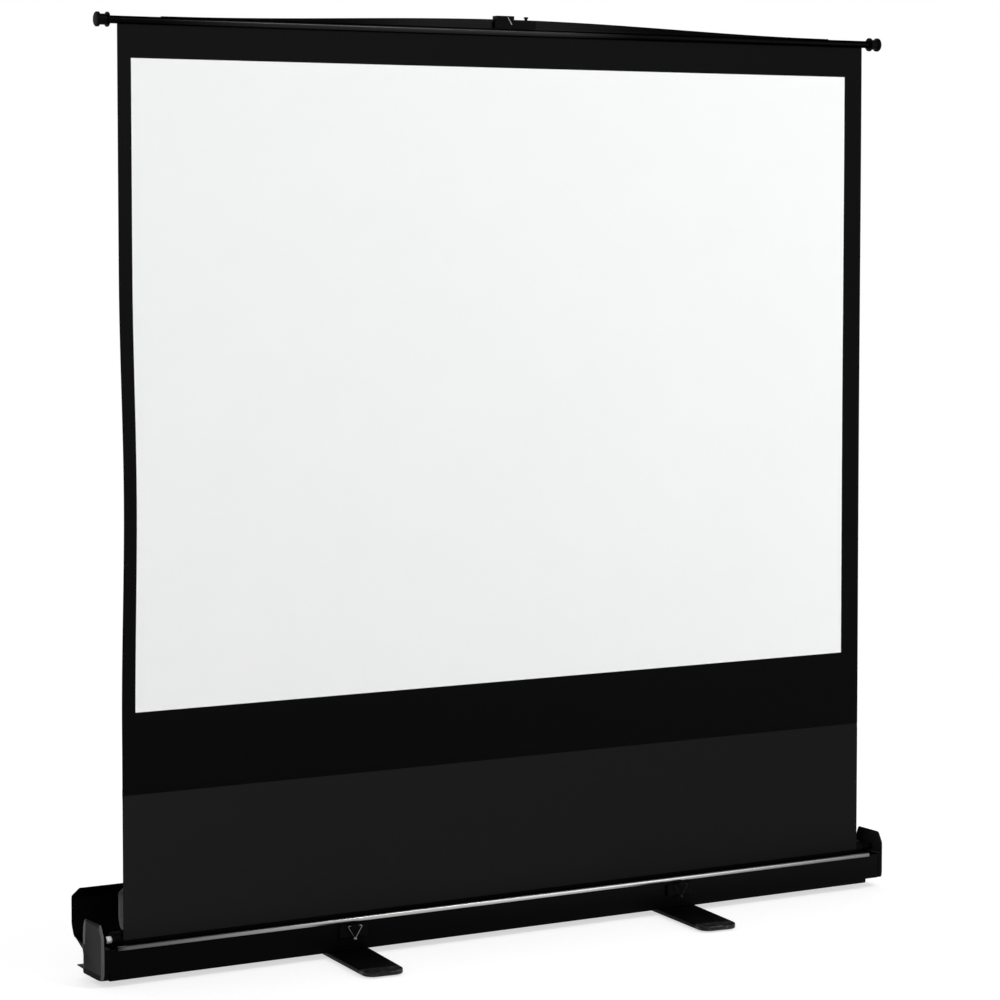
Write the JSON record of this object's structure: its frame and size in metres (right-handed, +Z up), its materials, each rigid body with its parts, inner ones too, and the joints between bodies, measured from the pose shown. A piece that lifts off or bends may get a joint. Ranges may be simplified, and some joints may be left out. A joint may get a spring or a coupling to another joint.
{
  "type": "portable floor projection screen",
  "caption": "Portable floor projection screen: long case with rear-hinged lid, swivelling feet, pull-up cloth on a spring roller and a telescopic mast.",
  "frame": {"origin": "on the floor, under the middle of the case and midway between the front and rear tips of the feet", "axes": "+X to the right along the screen as seen from its front, +Y backwards, +Z up"},
  "size_m": [1.804, 0.4484, 1.8312],
  "materials": {
    "case_black": "black anodised, satin",
    "cap_grey": "dark grey moulded",
    "black_plastic": "black moulded",
    "white_nylon": "white moulded",
    "black_rubber": "matt",
    "grey_foam": "matt foam",
    "bright_steel": "bright plated",
    "bare_aluminium": "bare satin",
    "black_batten": "black anodised, satin",
    "white_cloth": "matt white projection surface",
    "border_cloth": "matt black coating",
    "lower_cloth": "matt black woven cloth"
  },
  "bodies": {
    "base": {"base_tray": "case_black", "front_wall": "case_black", "rear_wall": "case_black", "front_trim": "bare_aluminium", "hinge_leaf_case": "case_black", "end_cap_left": "cap_grey", "end_cap_right": "cap_grey", "hinge_pin": "bright_steel", "latch_block_left": "black_plastic", "latch_block_right": "black_plastic", "foot_pivot_left": "bright_steel", "foot_pivot_right": "bright_steel", "axle_right": "bright_steel", "spring_arbor_left": "bright_steel", "axle_collar_left": "white_nylon", "axle_collar_right": "white_nylon", "roller_spring": "bright_steel", "mast_socket": "black_plastic", "mast_bolt": "bright_steel", "mast_lower_tube": "bare_aluminium", "lower_collar": "black_plastic", "picture_panel": "white_cloth", "mask_border": "border_cloth", "extension_cloth": "lower_cloth"},
    "lid": {"lid": "case_black", "hinge_leaf_lid": "case_black", "lid_pad_left": "grey_foam", "lid_pad_right": "grey_foam", "lid_keeper_left": "bright_steel", "lid_keeper_right": "bright_steel", "handle_mount_left": "black_plastic", "handle_mount_right": "black_plastic"},
    "handle": {"carry_handle": "bright_steel", "handle_grip": "black_plastic"},
    "latch_left": {"latch_bail_left": "bright_steel"},
    "latch_right": {"latch_bail_right": "bright_steel"},
    "left_foot": {"foot_left": "case_black", "foot_pad_left_front": "black_rubber", "foot_pad_left_rear": "black_rubber"},
    "right_foot": {"foot_right": "case_black", "foot_pad_right_front": "black_rubber", "foot_pad_right_rear": "black_rubber"},
    "roller": {"roller_tube": "black_batten", "cloth_roll": "lower_cloth", "roller_plug_left": "black_plastic", "roller_plug_right": "black_plastic"},
    "mast_middle": {"mast_middle_tube": "bare_aluminium", "middle_collar": "black_plastic"},
    "mast_upper": {"mast_upper_tube": "bare_aluminium", "mast_head": "black_plastic", "catch_bracket": "black_plastic", "batten_tube": "black_batten", "batten_crown": "black_batten", "batten_knob_left": "black_plastic", "batten_knob_right": "black_plastic"},
    "release_button": {"release_pin": "bright_steel"},
    "lower_clamp": {"lower_clamp_lever": "black_plastic"},
    "middle_clamp": {"middle_clamp_lever": "black_plastic"}
  },
  "joints": [
    {"name": "mast_middle_slide", "type": "slide", "parent": "base", "child": "mast_middle", "axis": [0, 0, 1], "range_m": [-0.51, 0], "deforming": ["picture_panel", "mask_border", "extension_cloth"]},
    {"name": "mast_upper_slide", "type": "slide", "parent": "mast_middle", "child": "mast_upper", "axis": [0, 0, 1], "range_m": [-0.51, 0], "deforming": ["picture_panel", "mask_border", "extension_cloth"]},
    {"name": "roller_spin", "type": "hinge", "parent": "base", "child": "roller", "pos_m": [0, -0.003, 0.082], "axis": [1, 0, 0], "range_deg": [0, 3249]},
    {"name": "lid_hinge", "type": "hinge", "parent": "base", "child": "lid", "pos_m": [0, 0.046, 0.0705], "axis": [1, 0, 0], "range_deg": [0, 10]},
    {"name": "handle_swing", "type": "hinge", "parent": "lid", "child": "handle", "pos_m": [0, 0.1093, 0.12165], "axis": [1, 0, 0], "range_deg": [0, 170]},
    {"name": "latch_left_swing", "type": "hinge", "parent": "base", "child": "latch_left", "pos_m": [-0.378, -0.0545, 0.063], "axis": [-1, 0, 0], "range_deg": [0, 170]},
    {"name": "latch_right_swing", "type": "hinge", "parent": "base", "child": "latch_right", "pos_m": [0.378, -0.0545, 0.063], "axis": [-1, 0, 0], "range_deg": [0, 170]},
    {"name": "foot_left_swivel", "type": "hinge", "parent": "base", "child": "left_foot", "pos_m": [-0.381, 0, 0.008], "axis": [0, 0, 1], "range_deg": [-83.7, 6.3]},
    {"name": "foot_right_swivel", "type": "hinge", "parent": "base", "child": "right_foot", "pos_m": [0.381, 0, 0.008], "axis": [0, 0, 1], "range_deg": [-83.7, 6.3]},
    {"name": "release_press", "type": "slide", "parent": "mast_upper", "child": "release_button", "axis": [0, 0, -1], "range_m": [0, 0.003], "stiffness_N_per_m": 600, "springref_m": -0.002},
    {"name": "lower_clamp_turn", "type": "hinge", "parent": "base", "child": "lower_clamp", "pos_m": [0, 0.052, 0.676], "axis": [1, 0, 0], "range_deg": [0, 95]},
    {"name": "middle_clamp_turn", "type": "hinge", "parent": "mast_middle", "child": "middle_clamp", "pos_m": [0, 0.0504, 1.246], "axis": [1, 0, 0], "range_deg": [0, 95]}
  ],
  "couplings": [
    {"joint": "mast_upper_slide", "follows": "mast_middle_slide", "ratio": 1},
    {"joint": "roller_spin", "follows": "mast_middle_slide", "rad_per_m": -111.11}
  ]
}
